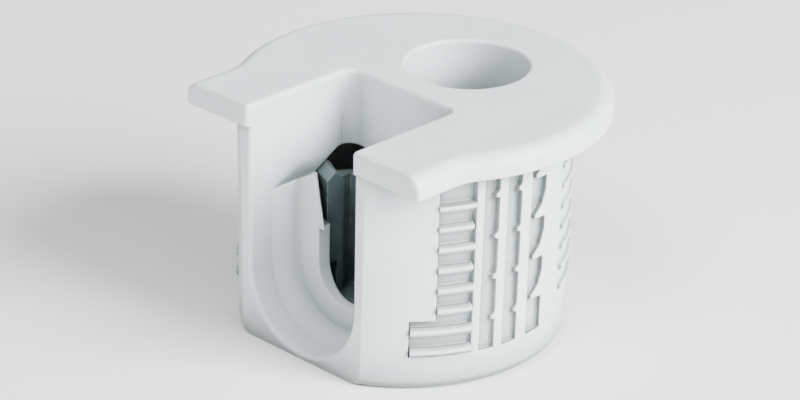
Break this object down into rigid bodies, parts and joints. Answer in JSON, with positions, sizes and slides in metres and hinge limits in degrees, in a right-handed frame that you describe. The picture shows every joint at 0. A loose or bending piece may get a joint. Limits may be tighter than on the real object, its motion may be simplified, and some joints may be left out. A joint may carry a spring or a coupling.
{
  "type": "panel connector housing",
  "caption": "Moulded connector housing for a 20 mm blind hole in a panel, with an open bolt slot, a half-round rim and a screwdriver-turned clamping cam inside.",
  "frame": {"origin": "at the centre of the round seat for the connecting bolt's neck, on the part's mirror plane and 9.2 mm below the underside of the flange, which lies on the board's face", "axes": "+Z out of the board through the flange, -Y out of the flat front where the connecting bolt comes in, +X to the right seen from in front of the flat front looking along +Y"},
  "size_m": [0.023, 0.0216, 0.015],
  "materials": {
    "white_plastic": "satin",
    "dark_zinc": "satin"
  },
  "bodies": {
    "housing": {"housing": "white_plastic"},
    "cam": {"cam": "dark_zinc"}
  },
  "joints": [
    {"name": "cam_turn", "type": "hinge", "parent": "housing", "child": "cam", "pos_m": [0, 0.0098, 0.0012], "axis": [0, 0, -1], "range_deg": [0, 30]}
  ]
}
